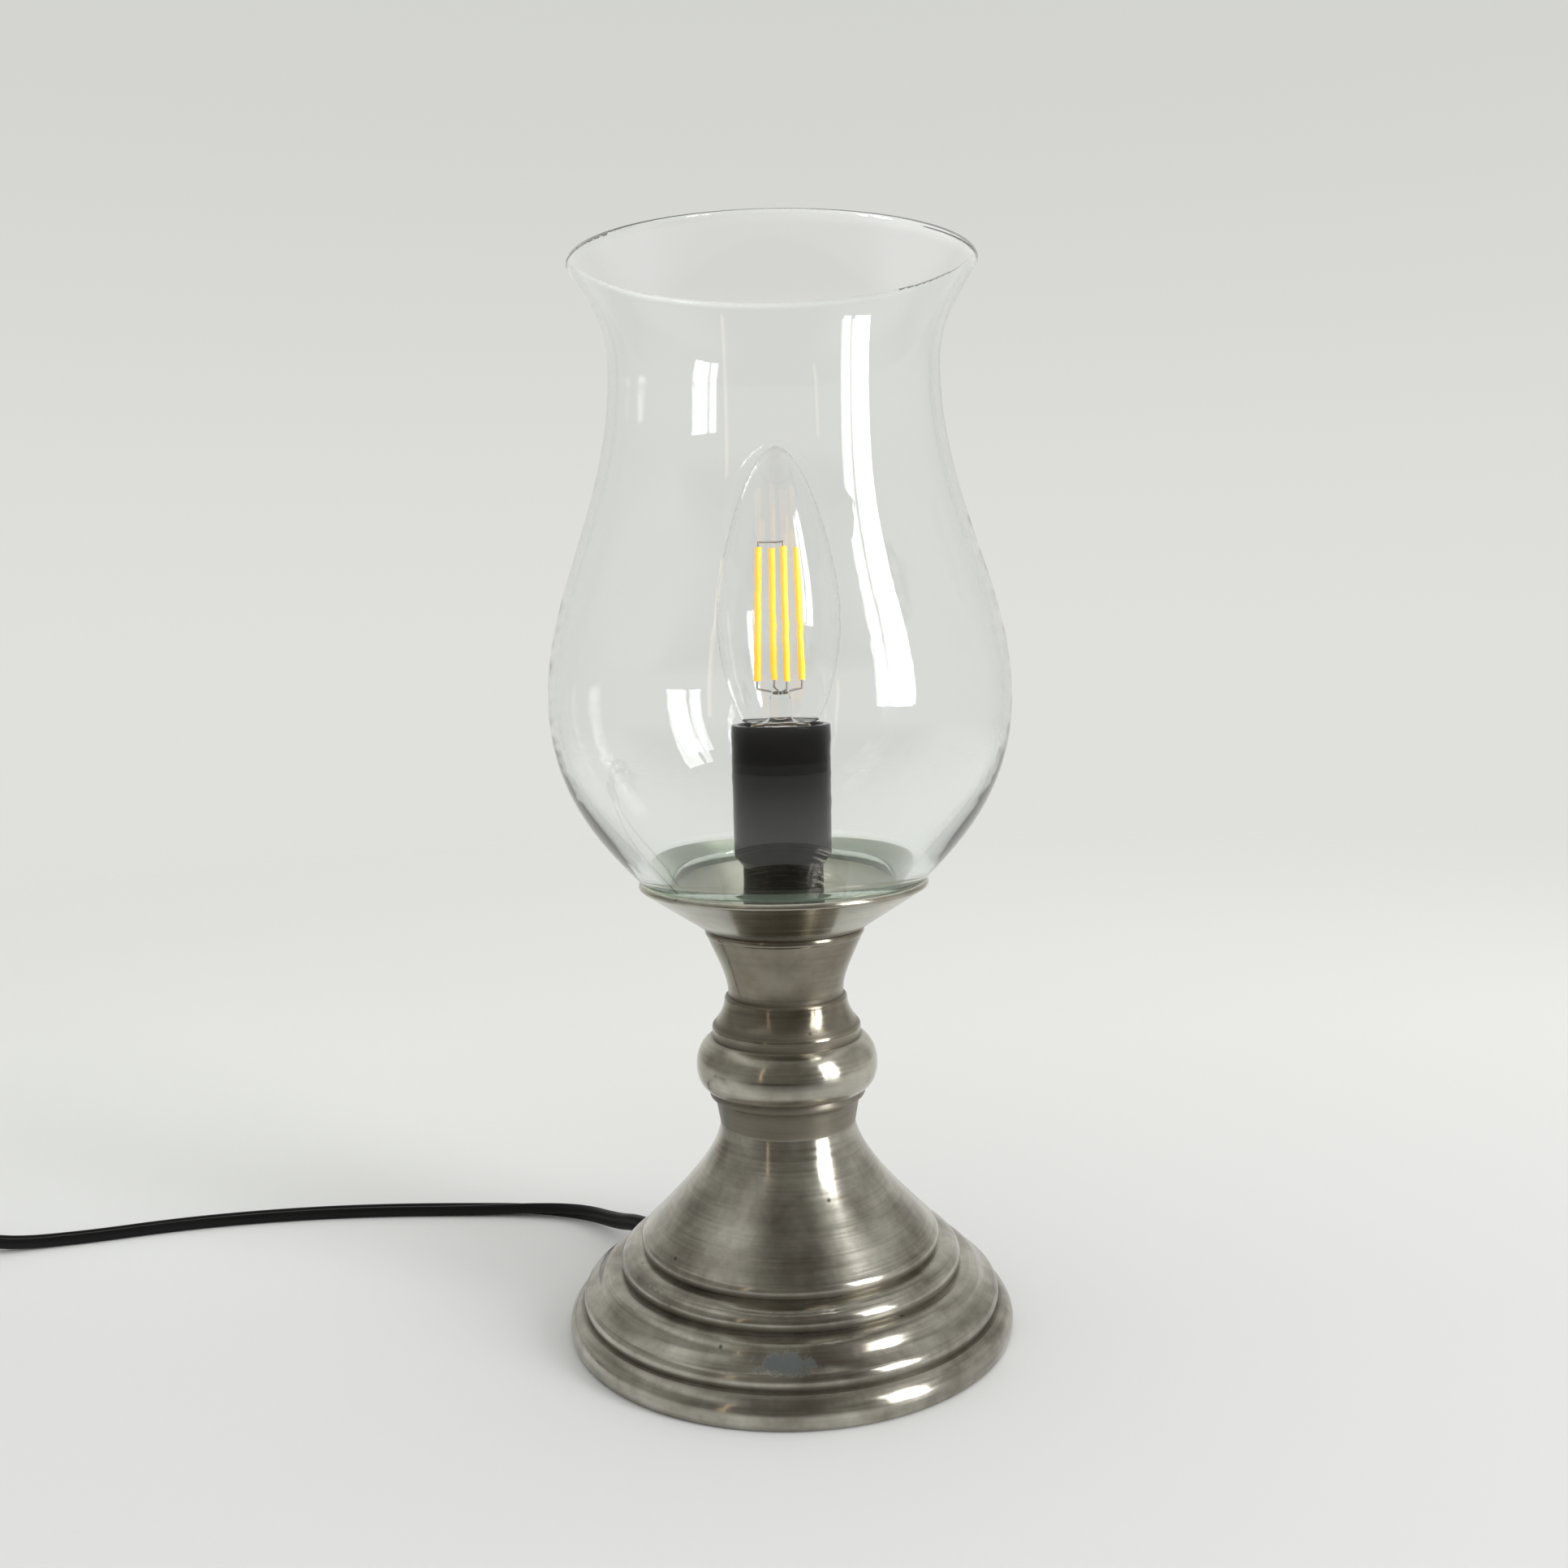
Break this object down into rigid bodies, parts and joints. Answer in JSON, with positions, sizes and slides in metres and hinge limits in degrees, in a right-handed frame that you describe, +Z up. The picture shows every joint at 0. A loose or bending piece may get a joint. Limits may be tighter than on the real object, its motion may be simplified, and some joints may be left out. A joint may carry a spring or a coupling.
{
  "type": "table lamp",
  "caption": "Electric table lamp: turned pewter stand with a dish, an open vase-shaped clear glass shade round a candle bulb, and a black cord with switch and plug.",
  "frame": {"origin": "on the floor under the lamp's axis, at the middle of the felt's underside", "axes": "+Z up along the lamp's axis; -Y is the front, and the cord leaves at the back on the -X side"},
  "size_m": [0.4985, 0.1509, 0.3038],
  "materials": {
    "felt": "short-napped felt",
    "plated_steel": "plain plated",
    "iron": "rough cast",
    "pewter": "turned, dull and slightly brown with age",
    "brass": "plain",
    "black_rubber": "matte",
    "black_bakelite": "glossy moulded",
    "white_ceramic": "unglazed",
    "black_glass": "glossy",
    "gilt_cap": "bright",
    "bulb_glass": "thin clear",
    "filament": "yellow phosphor coat, unlit",
    "shade_glass": "clear, blown, fire polished at the rim",
    "black_cord": "satin",
    "black_tie": "matte",
    "black_plastic": "satin moulded"
  },
  "bodies": {
    "stand": {"felt_pad": "felt", "base_plate": "plated_steel", "base_screws": "plated_steel", "base_weight": "iron", "foot": "pewter", "cord_bushing": "black_rubber", "foot_washer": "plated_steel", "foot_nut": "brass", "stem_tube": "plated_steel", "knop": "pewter", "neck": "pewter", "dish": "pewter", "holder_cap": "black_bakelite", "holder_shell": "black_bakelite", "holder_insert": "white_ceramic", "thread_liner": "brass", "centre_contact": "brass", "terminal_screws": "brass", "cord_inner": "black_cord", "cord_lead": "black_cord", "cord_link": "black_cord", "cord_coil": "black_cord", "cord_tail": "black_cord", "cord_tie": "black_tie", "switch_lower_case": "black_plastic", "switch_upper_case": "black_plastic", "switch_screws": "plated_steel", "switch_terminals": "brass", "plug_body": "black_plastic", "plug_pins": "plated_steel"},
    "shade": {"glass_shade": "shade_glass"},
    "bulb_base": {"bulb_contact": "plated_steel", "bulb_insulator": "black_glass"},
    "bulb": {"bulb_cap": "gilt_cap", "bulb_glass": "bulb_glass", "bulb_mount": "bulb_glass", "filaments": "filament", "filament_wires": "plated_steel"},
    "rocker": {"switch_rocker": "black_plastic"}
  },
  "joints": [
    {"name": "shade_lift", "type": "slide", "parent": "stand", "child": "shade", "axis": [0, 0, 1], "range_m": [0, 0.16]},
    {"name": "bulb_lift", "type": "slide", "parent": "stand", "child": "bulb_base", "axis": [0, 0, 1], "range_m": [0, 0.0142]},
    {"name": "bulb_turn", "type": "hinge", "parent": "bulb_base", "child": "bulb", "pos_m": [0, 0, 0.176], "axis": [0, 0, 1], "range_deg": [0, 1800]},
    {"name": "switch_rock", "type": "hinge", "parent": "stand", "child": "rocker", "pos_m": [-0.32437, 0.04587, 0.0126], "axis": [-0.1908, 0.9816, 0], "range_deg": [-16, 0]}
  ],
  "couplings": [
    {"joint": "bulb_lift", "follows": "bulb_turn", "m_per_rad": 0.00044882}
  ]
}
